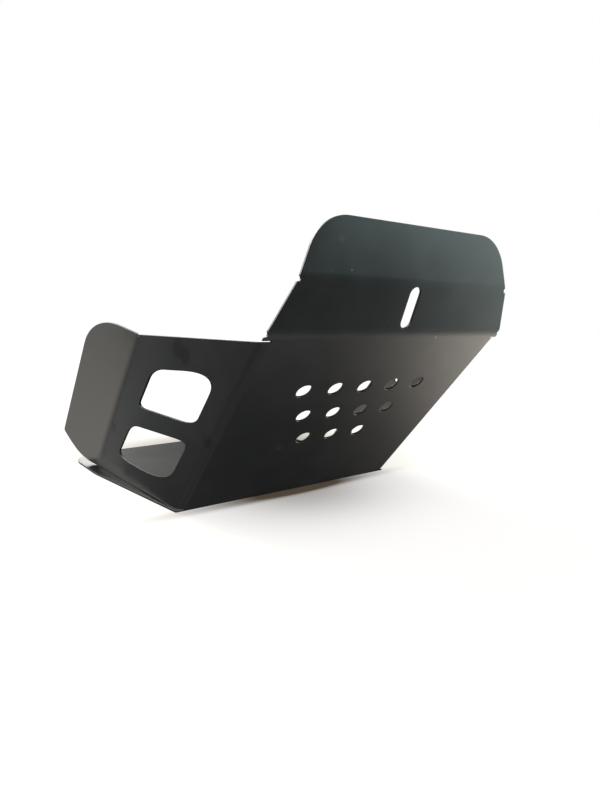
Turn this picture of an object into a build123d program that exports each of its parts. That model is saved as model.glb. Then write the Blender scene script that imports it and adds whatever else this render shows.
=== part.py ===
"""Motorcycle skid plate, cut from one flat steel sheet and folded.

The floor panel lies flat under the engine. In front of it the ramp rises forwards, and above the
ramp come a short upper panel with the bolt slot and an upright lip. Each side edge of the ramp is
folded back into a wing. The deep wing has two windows, and its rear is folded outwards into a flange.
The short wing on the other side has one window, a small tie hole and a plain rear edge.

Frame: +X to the side of the short wing, +Y to the rear, +Z up, in millimetres. The panels are drawn
from the middle of the lower fold, on the underside of the sheet, and the finished plate is then set
with the middle of its flat underside at the origin. Floor, ramp, upper panel and lip are symmetric
about X = 0.
"""

import os
from math import cos, radians, sin, tan

from build123d import *

# Sheet and folds
sheet = 2.0
fold_radius = 6.0            # outside radius of the wings' folds and the lower fold
easy_fold_radius = 28.0      # outside radius of the shallow folds: upper panel, lip and flange
relief_width = 0.6           # slit that lets a wing fold away from the ramp's own upper edge
relief_depth = 0.6           # how far a slit runs past the fold, into the flat of the ramp
notch_radius = 1.8           # round relief at the ends of the shallow folds

# Floor panel
floor_width = 270.0
floor_flare_length = 160.0   # from the lower fold to the widest place
floor_side_length = 90.0     # from there to the rear edge
floor_flare_radius = 120.0
floor_corner_radius = 38.0

# Ramp, upper panel and lip, measured along the outer face, with angles from the floor
ramp_width = 236.0
ramp_length = 202.0
ramp_angle = 48.0
upper_length = 36.1
upper_angle = 68.0
upper_top_width = 207.4
lip_length = 40.0
lip_angle = 87.5
lip_top_width = 177.4        # at the sharp corners, before rounding
lip_corner_radius = 32.0

# Vent holes in the ramp, one entry of the tuple for each row, downwards
vent_rows = (5, 4, 3)
vent_diameter = 13.0
vent_column_pitch = 30.0
vent_row_pitch = 30.0
vent_from_fold = 57.5        # from the ramp's upper fold to the first row

# Bolt slot in the upper panel
slot_width = 10.5
slot_length = 31.0
slot_from_fold = 3.6

# Wings
wing_drop = 4.65             # height from the ramp's upper fold down to the wings' upper edge
wing_gap = 1.5               # between the wings' lower edge and the floor panel
wing_flare = 2.0             # degrees that each wing leans outwards
deep_wing_depth = 141.0      # square to the ramp, from fold to fold
short_wing_depth = 78.0      # square to the ramp, from the fold to the rear edge
short_wing_corner_radius = 10.0
tie_hole_diameter = 6.0      # in the short wing, for a cable tie
tie_hole_depth = 53.0        # square to the ramp, from the fold
tie_hole_drop = 46.0         # below the wing's upper edge

# Windows in the wings: slanted openings, two above each other, with ends parallel to the ramp
window_front_margin = 25.3
window_top_margin = 25.6
window_bar = 16.4
window_bottom_margin = 20.5
upper_window_rear_margin = 37.7
upper_window_front_top_radius = 8.5
upper_window_front_bottom_radius = 27.0
upper_window_rear_bottom_radius = 5.0
upper_window_rear_top_radius = 60.0
lower_window_rear_margin = 32.7
lower_window_front_top_radius = 3.5
lower_window_front_bottom_radius = 58.0
lower_window_rear_bottom_radius = 8.0
lower_window_rear_top_radius = 50.0
short_wing_window_rear_margin = 17.0
window_rounding = 0.95       # share of a window's side that its two corners may take

# Flange on the deep wing's rear edge
flange_width = 59.0
flange_angle = 20.0          # degrees outwards from the wing
flange_top_slope = 22.8      # degrees that the upper edge falls away from square to the fold
flange_corner_radius = 57.0
flange_heel_radius = 3.0

# Directions and heights that follow
slope_cos = cos(radians(ramp_angle))
slope_sin = sin(radians(ramp_angle))
up_ramp = Vector(0, -slope_cos, slope_sin)
into_ramp = Vector(0, slope_sin, slope_cos)
ramp_half = ramp_width / 2
floor_length = floor_flare_length + floor_side_length
ramp_top = ramp_length * slope_sin
wing_top = ramp_top - wing_drop
wing_low = sheet + wing_gap
beyond = 2 * sheet           # how far a sheet runs past its outline before it is trimmed
through = 3 * fold_radius    # reach of a tool on each side of the one panel that it cuts
far = 2 * (floor_width + floor_length)


def side_point(depth, height):
    """Point (Y, Z) in the side view, at a depth square to the ramp's outer face and a height."""
    return ((depth - height * slope_cos) / slope_sin, height)


def climb(start, length, angle):
    """Point (Y, Z) reached from start along a panel that leans forwards."""
    return (start[0] - length * cos(radians(angle)), start[1] + length * sin(radians(angle)))


def centre_strip():
    """Floor panel, ramp, upper panel and lip, folded from one strip and cut to their outlines."""
    lower_fold = (0, 0)
    upper_fold = climb(lower_fold, ramp_length, ramp_angle)
    lip_fold = climb(upper_fold, upper_length, upper_angle)
    lip_edge = climb(lip_fold, lip_length, lip_angle)
    strip_end = climb(lip_edge, beyond, lip_angle)
    line = FilletPolyline(
        (floor_length, 0), lower_fold, upper_fold, lip_fold, strip_end,
        radius=[fold_radius, easy_fold_radius, easy_fold_radius],
    )
    strip = make_brake_formed(sheet, far, line=Plane.YZ * line, side=Side.RIGHT)
    strip = Pos(X=far / 2) * strip

    floor_half = floor_width / 2
    plan_half = [(ramp_half, -far), (ramp_half, 0), (floor_half, floor_flare_length), (floor_half, floor_length)]
    plan = make_face(Polyline(*plan_half, *[(-x, y) for x, y in reversed(plan_half)], close=True))
    plan = fillet(plan.vertices().group_by(Axis.Y)[-1], floor_corner_radius)
    widest = [corner for corner in plan.vertices() if abs(corner.Y - floor_flare_length) < sheet]
    plan = fillet(widest, floor_flare_radius)

    neck = ramp_half - fold_radius - relief_depth
    front_half = [
        (far, -beyond), (far, sheet), (neck, sheet), (neck, wing_top + relief_width),
        (ramp_half, wing_top + relief_width), (ramp_half, upper_fold[1]),
        (upper_top_width / 2, lip_fold[1]), (lip_top_width / 2, lip_edge[1]),
    ]
    front = make_face(Polyline(*front_half, *[(-x, z) for x, z in reversed(front_half)], close=True))
    front = fillet(front.vertices().group_by(Axis.Y)[-1], lip_corner_radius)
    fold_ends = [(ramp_half, upper_fold[1]), (upper_top_width / 2, lip_fold[1])]
    front -= [Pos(side * x, z) * Circle(notch_radius) for x, z in fold_ends for side in (-1, 1)]
    return strip & extrude(plan, far, both=True) & extrude(Plane.XZ * front, far, both=True)


def folded_sides():
    """Ramp with both wings and the flange: one folded channel along the slope, cut to its outlines."""
    flare = radians(wing_flare)
    turned = radians(wing_flare + flange_angle)
    fold_out = ramp_half + deep_wing_depth * sin(flare)
    fold_in = deep_wing_depth * cos(flare)
    reach = flange_width + beyond
    flange_tip = (-fold_out - reach * sin(turned), fold_in + reach * cos(turned))
    short_reach = short_wing_depth + beyond
    short_tip = (ramp_half + short_reach * sin(flare), short_reach * cos(flare))
    section = FilletPolyline(
        flange_tip, (-fold_out, fold_in), (-ramp_half, 0), (ramp_half, 0), short_tip,
        radius=[easy_fold_radius, fold_radius, fold_radius],
    )
    fold_bottom = (wing_low - fold_in * slope_cos) / slope_sin
    fold_top = (wing_top - fold_in * slope_cos) / slope_sin
    start = Plane(up_ramp * fold_bottom, x_dir=(1, 0, 0), z_dir=up_ramp)
    channel = make_brake_formed(sheet, ramp_length - fold_bottom, line=start * section, side=Side.LEFT)

    deep = [(-beyond, wing_low), (-beyond, wing_top), (fold_in, wing_top), (fold_in, wing_low)]
    deep_line = Polyline(*[side_point(*corner) for corner in deep], close=True)
    deep_cut = extrude(Plane.YZ * make_face(deep_line), -far)
    short_in = short_wing_depth * cos(flare)
    short = [(-beyond, wing_low), (-beyond, wing_top), (short_in, wing_top), (short_in, wing_low)]
    short_radii = [sheet, sheet, short_wing_corner_radius, short_wing_corner_radius]
    short_line = FilletPolyline(*[side_point(*corner) for corner in short], radius=short_radii, close=True)
    short_cut = extrude(Plane.YZ * make_face(short_line), far)

    fold_end = Vector(-fold_out, 0, 0) + into_ramp * fold_in + up_ramp * fold_top
    outwards = Vector(-sin(turned), 0, 0) + into_ramp * cos(turned)
    flange_plane = Plane(fold_end, x_dir=outwards, z_dir=outwards.cross(up_ramp))
    fall = tan(radians(flange_top_slope))
    low = fold_bottom - fold_top
    outline = [(-sheet, low), (flange_width, low), (flange_width, -flange_width * fall), (-sheet, sheet * fall)]
    flange = make_face(Polyline(*outline, close=True))
    flange = fillet(flange.vertices().group_by(Axis.X)[-1].sort_by(Axis.Y)[-1], flange_corner_radius)
    flange = fillet(flange.vertices().group_by(Axis.X)[-1].sort_by(Axis.Y)[0], flange_heel_radius)
    flange_cut = extrude(flange_plane * flange, through, both=True)
    notch = extrude(flange_plane * Circle(notch_radius), through, both=True)
    return (channel & (deep_cut + short_cut + flange_cut)) - notch


def window(low, high, rear, radii):
    """One slanted window in the side view. Its radii shrink together where a side has no room."""
    corners = [(window_front_margin, high), (window_front_margin, low), (rear, low), (rear, high)]
    sharp = 1 / tan(radians(ramp_angle) / 2)
    blunt = tan(radians(ramp_angle) / 2)
    reach = [radius * spread for radius, spread in zip(radii, (sharp, blunt, sharp, blunt))]
    end_room = (high - low) / max(reach[0] + reach[1], reach[2] + reach[3])
    edge_room = (rear - window_front_margin) / max(reach[1] + reach[2], reach[3] + reach[0])
    room = min(1, window_rounding * min(end_room, edge_room) / slope_sin)
    rounded = [radius * room for radius in radii]
    return make_face(FilletPolyline(*[side_point(*c) for c in corners], radius=rounded, close=True))


def windows():
    """Two windows of equal height in the deep wing. The short wing has one, level with the lower, and a tie hole."""
    height = (wing_top - wing_low - window_top_margin - window_bar - window_bottom_margin) / 2
    upper_high = wing_top - window_top_margin
    lower_low = wing_low + window_bottom_margin
    upper_radii = (
        upper_window_front_top_radius, upper_window_front_bottom_radius,
        upper_window_rear_bottom_radius, upper_window_rear_top_radius,
    )
    lower_radii = (
        lower_window_front_top_radius, lower_window_front_bottom_radius,
        lower_window_rear_bottom_radius, lower_window_rear_top_radius,
    )
    upper_rear = deep_wing_depth - upper_window_rear_margin
    lower_rear = deep_wing_depth - lower_window_rear_margin
    short_rear = short_wing_depth - short_wing_window_rear_margin
    upper = window(upper_high - height, upper_high, upper_rear, upper_radii)
    lower = window(lower_low, lower_low + height, lower_rear, lower_radii)
    single = window(lower_low, lower_low + height, short_rear, lower_radii)
    tie_place = side_point(tie_hole_depth, wing_top - tie_hole_drop)
    tie_hole = Plane.YZ * Pos(*tie_place) * Circle(tie_hole_diameter / 2)
    return extrude(Plane.YZ * (upper + lower), -far) + extrude(Plane.YZ * single, far) + extrude(tie_hole, far)


def vents():
    """Round vent holes, in staggered rows centred on the ramp."""
    down_from_fold = Plane(up_ramp * ramp_length, x_dir=(1, 0, 0), z_dir=into_ramp)
    places = [
        Pos((column - (count - 1) / 2) * vent_column_pitch, vent_from_fold + row * vent_row_pitch)
        for row, count in enumerate(vent_rows)
        for column in range(count)
    ]
    holes = Sketch() + [place * Circle(vent_diameter / 2) for place in places]
    return extrude(down_from_fold * holes, through, both=True)


def bolt_slot():
    """Upright slot through the upper panel."""
    fold = climb((0, 0), ramp_length, ramp_angle)
    y, z = climb(fold, slot_from_fold + slot_length / 2, upper_angle)
    lean = radians(upper_angle)
    panel = Plane((0, y, z), x_dir=(0, -cos(lean), sin(lean)), z_dir=(0, sin(lean), cos(lean)))
    return extrude(panel * SlotOverall(slot_length, slot_width), through, both=True)


folded = centre_strip() + folded_sides() - windows() - vents() - bolt_slot()
skid_plate = Pos(Y=-floor_length / 2) * folded

os.makedirs("parts", exist_ok=True)
export_step(skid_plate, "parts/skid_plate.step")
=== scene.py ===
"""Skid plate for a motorcycle: one folded steel sheet in black satin powder coat, on a pale floor."""

from math import cos, pi, radians, sin, tan

import bmesh
import bpy
import numpy as np
from mathutils import Matrix, Vector


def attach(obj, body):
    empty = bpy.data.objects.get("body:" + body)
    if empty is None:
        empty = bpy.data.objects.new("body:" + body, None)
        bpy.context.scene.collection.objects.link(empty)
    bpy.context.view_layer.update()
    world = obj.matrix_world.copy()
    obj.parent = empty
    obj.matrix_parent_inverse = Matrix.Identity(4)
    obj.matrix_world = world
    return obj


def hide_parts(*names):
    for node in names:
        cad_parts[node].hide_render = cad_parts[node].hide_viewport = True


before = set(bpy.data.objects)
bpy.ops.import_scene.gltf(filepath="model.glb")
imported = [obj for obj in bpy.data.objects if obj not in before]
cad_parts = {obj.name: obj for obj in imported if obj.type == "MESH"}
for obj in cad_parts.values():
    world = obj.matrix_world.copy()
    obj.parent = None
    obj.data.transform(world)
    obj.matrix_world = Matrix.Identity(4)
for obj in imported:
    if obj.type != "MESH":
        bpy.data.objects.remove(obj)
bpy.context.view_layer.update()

# Folded sheet
# One 2 mm steel sheet, laser cut, folded on a press brake and then powder coated. It keeps the solid's shape,
# with the cut edges broken as deburring and the coat leave them. The corners of the left windows and the lower
# edge of the left wing and its flange are shaped here.

edge_round = 0.00035
edge_steps = 2
sharp_edge = radians(35)
flat_join = radians(0.5)
same_point = 1e-6
lower_fold = -0.125
ramp_slope = radians(48)
up_slope = (0, -cos(ramp_slope), sin(ramp_slope))
behind_ramp = (0, sin(ramp_slope), cos(ramp_slope))
left_side = -0.1
wing_flare = radians(2)


def skins_of(mesh):
    """Number of the smooth region that each face belongs to, found by spreading over edges that aren't sharp."""
    region = {}
    number = 0
    for seed in mesh.faces:
        if seed in region:
            continue
        front = [seed]
        region[seed] = number
        while front:
            face = front.pop()
            for edge in face.edges:
                if edge.calc_face_angle(0) < sharp_edge:
                    for other in edge.link_faces:
                        if other not in region:
                            region[other] = number
                            front.append(other)
        number += 1
    return region


def wall_between(built, rim):
    """The faces that have only points of the rim, their edges and the rim's points, in a fixed order."""
    points = set(rim)
    faces = [face for face in built.faces if points.issuperset(face.verts)]
    return [*faces, *dict.fromkeys(edge for face in faces for edge in face.edges), *rim]


# The windows' corners from the front upper one downwards and round: depth behind the ramp, height,
# and how far the rounding reaches along the side before the corner and along the side after it.

upper_window = ((0.0247, 0.1222, 0.0550, 0.0225), (0.0251, 0.0795, 0.0095, 0.0250),
                (0.1060, 0.0808, 0.0185, 0.0095), (0.1032, 0.1171, 0.0130, 0.0215))
lower_window = ((0.0237, 0.0642, 0.0235, 0.0075), (0.0255, 0.0213, 0.0215, 0.0585),
                (0.1115, 0.0239, 0.0380, 0.0140), (0.1068, 0.0617, 0.0135, 0.0200))
rim_band = (0.75, 1.25)
rim_merge = 2e-4
outline_steps = 320
steps_to_a_cut = 20


def reshape_window(built, corners):
    """Moves the edge of a window in the left wing onto a four-sided outline with soft corners.

    A rounding is the parabola from a point on the side before the corner to one on the side after it, with the
    corner where its end tangents cross. The points of the old edge are those whose distance from the window's
    middle, as a share of the outline's, lies within rim_band. The wall between them is cut by planes through
    the middle, and each of its points then moves along its ray from the middle onto the outline.
    """
    depth, height, before, after = np.array(corners).T
    corner = np.stack([lower_fold + (depth - height * cos(ramp_slope)) / sin(ramp_slope), height], 1)
    last_side, next_side = np.roll(corner, 1, 0) - corner, np.roll(corner, -1, 0) - corner
    start = corner + last_side * (before / np.hypot(*last_side.T))[:, None]
    end = corner + next_side * (after / np.hypot(*next_side.T))[:, None]
    t = np.linspace(0, 1, outline_steps + 1)[:, None, None]
    rounding = (1 - t) ** 2 * start + 2 * t * (1 - t) * corner + t ** 2 * end
    straight = end + (np.roll(start, -1, 0) - end) * t
    middle = corner.mean(0)

    def polar(points):
        """Bearing and distance of points in side view from the middle of the window."""
        away = points - middle
        return np.arctan2(away[:, 1], away[:, 0]), np.hypot(*away.T)

    outline = polar(np.concatenate([rounding, straight]).reshape(-1, 2))
    near = [point for point in built.verts if point.co.x < left_side]
    bearing, distance = polar(np.array([point.co.yz for point in near]))
    share = distance / np.interp(bearing, *outline, period=2 * pi)
    rim = [point for point, part in zip(near, share) if rim_band[0] < part < rim_band[1]]
    wall = wall_between(built, rim)
    for y, z in rounding[::steps_to_a_cut].reshape(-1, 2) - middle:
        wall = bmesh.ops.bisect_plane(built, geom=wall, dist=same_point,
                                      plane_co=(0, *middle), plane_no=(0, -z, y))["geom"]
    rim = [part for part in wall if isinstance(part, bmesh.types.BMVert)]
    bmesh.ops.remove_doubles(built, verts=rim, dist=rim_merge)
    rim = [point for point in rim if point.is_valid]
    x, *side = np.array([point.co for point in rim]).T
    side = np.stack(side, 1)
    bearing, _ = polar(side)
    distance = np.interp(bearing, *outline, period=2 * pi)
    moved = middle + np.stack([np.cos(bearing), np.sin(bearing)], 1) * distance[:, None]
    x = x - tan(wing_flare) * ((moved - side) @ behind_ramp[1:])
    for point, across, (y, z) in zip(rim, x, moved):
        point.co = (across, y, z)


# The lower edge of the left wing and its flange, in depth behind the ramp, height over the underside and
# place up the slope, with how far the edge is let down and where its wall is cut for that.

panel_top = 0.00202
wing_low = 0.0035
wing_depth = 0.141
wing_drop = 0.0018
wing_drop_start = 0.01
wing_drop_run = 0.05
wing_slack = 1e-5
flange_low = -0.12217
flange_slack = 1e-4
flange_heel = 0.0035
flange_foot = 0.1387
flange_reach = 0.057
end_drop = 0.0045
middle_drop = 0.010
middle_lean = 0.9
wing_cuts = np.arange(0.02, wing_depth, 0.02)
flange_cuts = np.arange(0.1425, 0.1925, 0.0025)


def let_down_edge(built):
    """Lets the lower edge of the left wing and of its flange down along the slope, towards the floor panel.

    The wing's drop grows evenly to wing_drop over its front part. The flange's is end_drop times the share of
    the way from the foot of the fold to its free end, plus middle_drop times the sine of half a turn times that
    share to the power of middle_lean.
    """
    def measured(points):
        """Depth behind the ramp and height of points, and whether they are on the flange's lower edge."""
        y, z = np.array([point.co.yz for point in points]).T
        depth = sin(ramp_slope) * (y - lower_fold) + cos(ramp_slope) * z
        slope = sin(ramp_slope) * z - cos(ramp_slope) * (y - lower_fold)
        on_heel = (depth > wing_depth) & (slope < flange_low + flange_heel)
        return depth, z, on_heel | (slope < flange_low + flange_slack)

    side = [point for point in built.verts if point.co.x < left_side and point.co.z > panel_top]
    _, height, on_flange = measured(side)
    is_low = on_flange | (abs(height - wing_low) < wing_slack)
    edge = [point for point, low in zip(side, is_low) if low]
    wall = wall_between(built, edge)
    for station in (*wing_cuts, *flange_cuts):
        wall = bmesh.ops.bisect_plane(built, geom=wall, dist=same_point, plane_no=behind_ramp,
                                      plane_co=(0, lower_fold + station / sin(ramp_slope), 0))["geom"]
    edge = [part for part in wall if isinstance(part, bmesh.types.BMVert)]
    depth, _, on_flange = measured(edge)
    along = np.clip((depth - flange_foot) / flange_reach, 0, 1)
    drop = np.where(on_flange, end_drop * along + middle_drop * np.sin(pi * along ** middle_lean),
                    wing_drop * np.clip((depth - wing_drop_start) / wing_drop_run, 0, 1))
    for point, fall in zip(edge, drop):
        point.co -= Vector(up_slope) * fall


# Where the strips of the folds are cut across near their ends: places across the plate and up the slope.

cuts_across = (-0.112, -0.096, 0.096, 0.112)
cuts_up = (-0.09, 0.006, 0.07, 0.192)


def cut_sheet(node):
    """Merged copy of a folded sheet, shaped at its left side, with its broad skins and cut edges told apart.

    The two largest smooth regions are the outer and inner skin. All the others are cut edges, which get
    the value 1 in the face attribute cut_edge. The long strips of the folds are cut across a little way
    in from their ends, so that the notches there don't disturb the shading along the fold.
    """
    built = bmesh.new()
    built.from_mesh(node.data)
    bmesh.ops.remove_doubles(built, verts=built.verts, dist=same_point)
    bmesh.ops.dissolve_limit(built, angle_limit=flat_join, verts=built.verts, edges=built.edges)
    reshape_window(built, upper_window)
    reshape_window(built, lower_window)
    let_down_edge(built)
    cuts = [((across, 0, 0), (1, 0, 0)) for across in cuts_across]
    cuts += [((0, lower_fold + up_slope[1] * up, up_slope[2] * up), up_slope) for up in cuts_up]
    for place, normal in cuts:
        everything = built.verts[:] + built.edges[:] + built.faces[:]
        bmesh.ops.bisect_plane(built, geom=everything, dist=same_point, plane_co=place, plane_no=normal)
    cut = built.faces.layers.float.new("cut_edge")
    region = skins_of(built)
    areas = np.zeros(max(region.values()) + 1)
    for face, number in region.items():
        areas[number] += face.calc_area()
    skins = set(np.argsort(areas)[-2:])
    for face, number in region.items():
        face[cut] = 0.0 if number in skins else 1.0
        face.smooth = True
    mesh = bpy.data.meshes.new("cut_sheet")
    built.to_mesh(mesh)
    built.free()
    return mesh


broken_slot = 1
broken_weight = 1e-12


def rounded_sheet(node):
    """The cut sheet with its sharp edges broken, and smooth normals that keep the flat panels flat.

    The Bevel gives its own faces the second material index. A point's normal is the mean of the other
    faces that meet there, weighted by the square of their area, so each fold runs smoothly from one
    panel into the next. A point in the middle of a broken edge has only bevel faces, and takes theirs.
    """
    blank = bpy.data.objects.new("blank", cut_sheet(node))
    bpy.context.scene.collection.objects.link(blank)
    for _ in range(broken_slot + 1):
        blank.data.materials.append(None)
    bevel = blank.modifiers.new("broken_edges", "BEVEL")
    bevel.width = edge_round
    bevel.segments = edge_steps
    bevel.limit_method = "ANGLE"
    bevel.angle_limit = sharp_edge
    bevel.use_clamp_overlap = False
    bevel.material = broken_slot
    mesh = bpy.data.meshes.new_from_object(blank.evaluated_get(bpy.context.evaluated_depsgraph_get()))
    bpy.data.objects.remove(blank)
    mesh.name = "folded_sheet"
    count = len(mesh.polygons)
    facing, area = np.empty(count * 3), np.empty(count)
    slot, corners = np.empty(count, int), np.empty(count, int)
    mesh.polygons.foreach_get("normal", facing)
    mesh.polygons.foreach_get("area", area)
    mesh.polygons.foreach_get("material_index", slot)
    mesh.polygons.foreach_get("loop_total", corners)
    points = np.empty(len(mesh.loops), int)
    mesh.loops.foreach_get("vertex_index", points)
    owner = np.repeat(np.arange(count), corners)
    is_broken = slot == broken_slot
    weight = np.where(is_broken, broken_weight, 1.0) * area ** 2
    normals = np.zeros((len(mesh.vertices), 3))
    np.add.at(normals, points, facing.reshape(-1, 3)[owner] * weight[owner, None])
    normals /= np.linalg.norm(normals, axis=1, keepdims=True)
    mesh.normals_split_custom_set_from_vertices(normals.tolist())
    mesh.materials.clear()
    mesh.attributes.new("broken_edge", "FLOAT", "FACE").data.foreach_set("value", is_broken.astype(float))
    return mesh


plate = bpy.data.objects.new("folded_sheet", rounded_sheet(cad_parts["skid_plate"]))
bpy.context.scene.collection.objects.link(plate)


class Shade:
    """A socket in a material's maths: arithmetic on it adds Math nodes, and node() adds any other kind."""

    def __init__(self, tree, socket=None):
        self.tree = tree
        self.socket = socket

    def node(self, kind, settings, sockets, output=0):
        """Adds a node with its settings and its inputs, and gives the socket of one of its outputs."""
        made = self.tree.nodes.new(kind)
        for name, value in settings.items():
            setattr(made, name, value)
        for name, value in sockets.items():
            if isinstance(value, Shade):
                self.tree.links.new(value.socket, made.inputs[name])
            else:
                made.inputs[name].default_value = value
        return self if output is None else Shade(self.tree, made.outputs[output])

    def math(self, operation, *values):
        """Adds a Math node that takes this socket first."""
        return self.node("ShaderNodeMath", {"operation": operation}, dict(enumerate((self, *values))))

    def blend(self, first, second):
        """Mix of two colours, the second where this socket is 1."""
        return self.node("ShaderNodeMix", {"data_type": "RGBA"}, {0: self, 6: first, 7: second}, 2)

    def __add__(self, other):
        return self.math("ADD", other)

    def __sub__(self, other):
        return self.math("SUBTRACT", other)

    def __rsub__(self, other):
        return (self * -1) + other

    def __mul__(self, other):
        return self.math("MULTIPLY", other)

    __radd__ = __add__
    __rmul__ = __mul__


coat_black = (0.0056, 0.0057, 0.006, 1)
coat_dusty = (0.0092, 0.0091, 0.0089, 1)
coat_thin = (0.03, 0.03, 0.031, 1)
coat_roughness = 0.32
speck_grey = (0.16, 0.16, 0.155, 1)
specks_to_a_metre = 120.0
speck_size = 0.04
grain_height = 0.0001
grain_strength = 0.22
mark_strength = 0.95
mark_roughness = 0.06
mark_gleam = 0.2
coat = bpy.data.materials.new("black_powder_coat")
coat.use_nodes = True
coat.node_tree.nodes.clear()
paint = Shade(coat.node_tree)
on_plate = paint.node("ShaderNodeTexCoord", {}, {}, "Object")


def patches(scale, detail):
    """Smooth noise between 0 and 1 over the plate, with the scale in patches to the metre."""
    return paint.node("ShaderNodeTexNoise", {}, {"Vector": on_plate, "Scale": scale, "Detail": detail})


clouds = patches(17, 2)
wipes = patches(60, 4)
peel = patches(430, 1)
grain = patches(1600, 2)


def smooth_step(value, low, high, at_low, at_high):
    """Smooth step from one value at the low end to another at the high end."""
    return paint.node("ShaderNodeMapRange", {"interpolation_type": "SMOOTHSTEP"}, {
        "Value": value, "From Min": low, "From Max": high, "To Min": at_low, "To Max": at_high})


def spot(centre, inner, outer, ragged=0.0):
    """Mask that is 1 within the inner distance of a point and 0 beyond the outer one, with a ragged rim."""
    away = paint.node("ShaderNodeVectorMath", {"operation": "DISTANCE"}, {0: on_plate, 1: centre}, "Value")
    return smooth_step(away + (wipes - 0.5) * ragged, inner, outer, 1.0, 0.0)


cut = paint.node("ShaderNodeAttribute", {"attribute_name": "cut_edge"}, {}, "Fac")
broken = paint.node("ShaderNodeAttribute", {"attribute_name": "broken_edge"}, {}, "Fac")
cell = paint.node("ShaderNodeTexVoronoi", {}, {"Vector": on_plate, "Scale": specks_to_a_metre}, "Distance")
specks = cell.math("LESS_THAN", speck_size)
dust_spots = (spot((-0.0498, -0.1752, 0.0557), 0.001, 0.005, 0.004) * 0.12
              + spot((0.0403, -0.2572, 0.1468), 0.0008, 0.0019) * 0.8
              + spot((-0.0627, -0.2740, 0.1905), 0.0004, 0.0011) * 0.6
              + spot((-0.0721, -0.2750, 0.2090), 0.001, 0.004, 0.004) * 0.12)
finger_marks = (spot((-0.1209, -0.1395, 0.1365), 0.004, 0.0115, 0.003)
                + spot((-0.1203, -0.1520, 0.1315), 0.004, 0.0105, 0.003)
                + spot((-0.1220, 0.0070, 0.0520), 0.001, 0.009, 0.008) * 0.6
                + spot((-0.1182, -0.1816, 0.0710), 0.001, 0.009, 0.008) * 0.5).math("MINIMUM", 1.0)
dusty = smooth_step(clouds * 0.6 + wipes * 0.4, 0.42, 0.68, 0.0, 1.0)
colour = dusty.blend(coat_black, coat_dusty)
colour = ((broken * 0.5 + cut * 0.25) * wipes).blend(colour, coat_thin)
colour = (specks * 0.6 + dust_spots).math("MINIMUM", 1.0).blend(colour, speck_grey)
gloss = coat_roughness + (clouds - 0.5) * 0.06 + (wipes - 0.5) * 0.08 + (grain - 0.5) * 0.05 + cut * 0.05
texture = paint.node("ShaderNodeBump", {}, {
    "Strength": grain_strength, "Distance": grain_height, "Height": peel * 0.6 + grain * 0.4})
clean = paint.node("ShaderNodeBsdfPrincipled", {}, {"Base Color": colour, "Roughness": gloss, "Normal": texture})
dull = paint.node("ShaderNodeBsdfPrincipled", {}, {
    "Base Color": coat_black, "Roughness": gloss + mark_roughness, "Specular IOR Level": mark_gleam,
    "Normal": texture})
surface = paint.node("ShaderNodeMixShader", {}, {0: finger_marks * mark_strength, 1: clean, 2: dull})
paint.node("ShaderNodeOutputMaterial", {}, {"Surface": surface}, None)
plate.data.materials.append(coat)
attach(plate, "root")
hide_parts("skid_plate")

# Floor
# A plain pale sheet, lit from below like a light table, so that it stays white round the plate, except for the
# plate's shadows, which are painted into its glow.
# It lies just under the plate, and only the camera sees it: the plate is lit by the surround and small cards.

floor_half = 4.0
floor_drop = 0.0002
floor_colour = (0.12, 0.105, 0.085, 1)
floor_white = (0.965, 0.955, 0.95, 1)
# The colour that the painted shadows pull the floor's glow towards.
floor_shade = (0.055, 0.035, 0.022, 1)
floor_roughness = 0.9
corners = np.array([(-1, -1, 0), (1, -1, 0), (1, 1, 0), (-1, 1, 0)]) * floor_half - (0, 0, floor_drop)
ground = bpy.data.meshes.new("floor")
ground.from_pydata(corners.tolist(), [], [(0, 1, 2, 3)])
floor = bpy.data.objects.new("floor", ground)
bpy.context.scene.collection.objects.link(floor)
floor.visible_diffuse = False
floor.visible_glossy = False
floor.visible_shadow = False
pale = bpy.data.materials.new("pale_floor")
pale.use_nodes = True
pale.node_tree.nodes.clear()
tint = Shade(pale.node_tree)
on_floor = tint.node("ShaderNodeTexCoord", {}, {}, "Object")


def shade_pool(x, y, half_width, half_length, depth, steepness):
    """Soft oval shade: depth times e to the power of minus the distance in half sizes, raised to the steepness."""
    away = tint.node("ShaderNodeMapping", {"vector_type": "TEXTURE"}, {
        "Vector": on_floor, "Location": (x, y, 0), "Scale": (half_width, half_length, 1)})
    length = tint.node("ShaderNodeVectorMath", {"operation": "LENGTH"}, {0: away}, "Value")
    return (length.math("POWER", steepness) * -1).math("EXPONENT") * depth


# Painted shadows of the plate: soft pools that darken the glow in front of the ramp, along its foot, at the right
# side and behind.
front_shade = shade_pool(0.005, -0.125, 0.085, 0.083, 0.68, 2)
front_contact = shade_pool(-0.008, -0.128, 0.125, 0.012, 0.5, 4)
right_shade = shade_pool(0.135, 0.03, 0.075, 0.12, 0.72, 2)
rear_shade = shade_pool(0.0, 0.13, 0.11, 0.045, 0.5, 2)
shade = (front_shade + front_contact + right_shade + rear_shade).math("MINIMUM", 1.0)
sheet = tint.node("ShaderNodeBsdfPrincipled", {}, {
    "Base Color": floor_colour, "Roughness": floor_roughness, "Specular IOR Level": 0.0,
    "Emission Color": shade.blend(floor_white, floor_shade), "Emission Strength": 1.0})
tint.node("ShaderNodeOutputMaterial", {}, {"Surface": sheet}, None)
ground.materials.append(pale)

# Light
# A white room with soft light panels round the plate, some of them low, as pale cards on the floor give.
# Each panel is a round glow in the surround that fades with the angle from its middle. Three small cards
# close to the plate light the flange, the inside of the right wing and the floor panel's rear left rim.

room_white = (1, 1, 1, 1)
world = bpy.data.worlds.new("studio")
bpy.context.scene.world = world
world.use_nodes = True
world.node_tree.nodes.clear()
glow = Shade(world.node_tree)
direction = glow.node("ShaderNodeTexCoord", {}, {}, "Generated")


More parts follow.
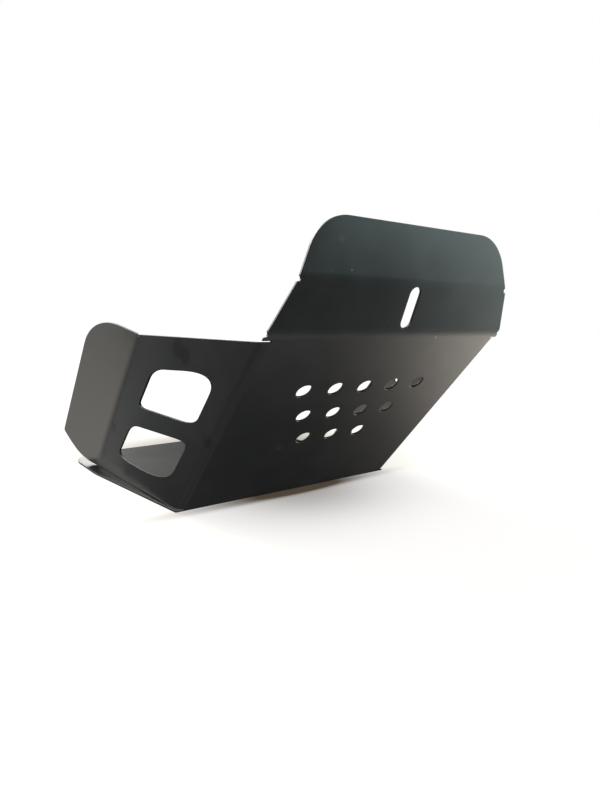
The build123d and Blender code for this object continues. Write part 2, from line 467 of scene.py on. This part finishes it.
def light_panel(azimuth, height, tightness, colour):
    """Round panel in the surround: its colour times e to the power of its tightness times (cosine - 1).

    The cosine is that of the angle off the panel's middle. The azimuth is counted from the rear towards the
    plate's right side, and the height up from the horizon.
    """
    turn, lift = radians(azimuth), radians(height)
    middle = (sin(turn) * cos(lift), cos(turn) * cos(lift), sin(lift))
    facing = glow.node("ShaderNodeVectorMath", {"operation": "DOT_PRODUCT"}, {0: direction, 1: middle}, "Value")
    fade = ((facing - 1) * tightness).math("EXPONENT")
    return glow.node("ShaderNodeVectorMath", {"operation": "SCALE"}, {0: colour, "Scale": fade})


def together(first, *others):
    """Sum of the panels' light."""
    for other in others:
        first = glow.node("ShaderNodeVectorMath", {"operation": "ADD"}, {0: first, 1: other})
    return first


right_card = light_panel(88, -31, 95, (4.85, 4.4, 3.9))
right_wall = light_panel(95, -3.5, 30, (12.9, 14.9, 14.4))
front_softbox = light_panel(124, 20.5, 100, (20.6, 25.7, 26.2))
rear_softbox = light_panel(-17, 45, 15, (16.4, 16.7, 15.7))
rear_wall = light_panel(-14, -9, 110, (0.70, 0.76, 0.76))
left_card = light_panel(-60, -20.5, 14, (0.45, 0.45, 0.45))
left_floor = light_panel(-91, -57, 8.6, (0.48, 0.48, 0.48))
front_floor = light_panel(-176, -52, 12, (1.23, 1.23, 1.23))
right_floor = light_panel(113, -57.5, 118, (1.3, 1.35, 1.4))
rear_floor = light_panel(63, -73, 90, (0.45, 0.45, 0.45))
surround = together(right_card, right_wall, front_softbox, rear_softbox, rear_wall,
                    left_card, left_floor, front_floor, right_floor, rear_floor)
room = glow.node("ShaderNodeBackground", {}, {"Color": room_white})
panels = glow.node("ShaderNodeBackground", {}, {"Color": surround})
seen = glow.node("ShaderNodeLightPath", {}, {}, "Is Camera Ray")
light = glow.node("ShaderNodeMixShader", {}, {0: seen, 1: panels, 2: room})
glow.node("ShaderNodeOutputWorld", {}, {"Surface": light}, None)
bpy.context.scene.view_settings.view_transform = "Standard"


def reflector_card(name, place, azimuth, height, size, spread, colour, energy):
    """A small soft light whose face looks along an azimuth and height, unseen by the camera itself."""
    lamp = bpy.data.lights.new(name, "AREA")
    lamp.shape = "RECTANGLE"
    lamp.size, lamp.size_y = size
    lamp.spread = radians(spread)
    lamp.color = colour
    lamp.energy = energy
    card = bpy.data.objects.new(name, lamp)
    bpy.context.scene.collection.objects.link(card)
    card.matrix_world = (Matrix.Translation(place) @ Matrix.Rotation(radians(-azimuth), 4, "Z")
                         @ Matrix.Rotation(radians(90 + height), 4, "X"))
    card.visible_camera = False


reflector_card("flange_card", (-0.225, 0.104, 0.120), 85, 36, (0.22, 0.36), 124, (1.0, 0.97, 0.88), 0.297)
reflector_card("inner_card", (-0.038, 0.038, 0.055), 135, 5, (0.20, 0.13), 50, (1.0, 0.96, 0.9), 0.012)
reflector_card("rim_card", (-0.04, 0.40, 0.078), 196, -14, (0.06, 0.05), 50, (1.0, 1.0, 0.98), 0.0047)

# Camera
# It stands before the plate's left corner, a little over the floor, and looks slightly down.
# The lens is given for a sensor that is 36 mm on its longer side.

camera_place = (-0.31001, -0.55048, 0.15918)
camera_yaw = radians(-36.84)
camera_pitch = radians(-7.97)
camera_roll = radians(0.46)
camera_data = bpy.data.cameras.new("camera")
camera_data.sensor_width = 36.0
camera_data.lens = 25.79
camera = bpy.data.objects.new("camera", camera_data)
bpy.context.scene.collection.objects.link(camera)
turn = Matrix.Rotation(camera_yaw, 4, "Z") @ Matrix.Rotation(radians(90) + camera_pitch, 4, "X")
camera.matrix_world = Matrix.Translation(camera_place) @ turn @ Matrix.Rotation(camera_roll, 4, "Z")
bpy.context.scene.camera = camera
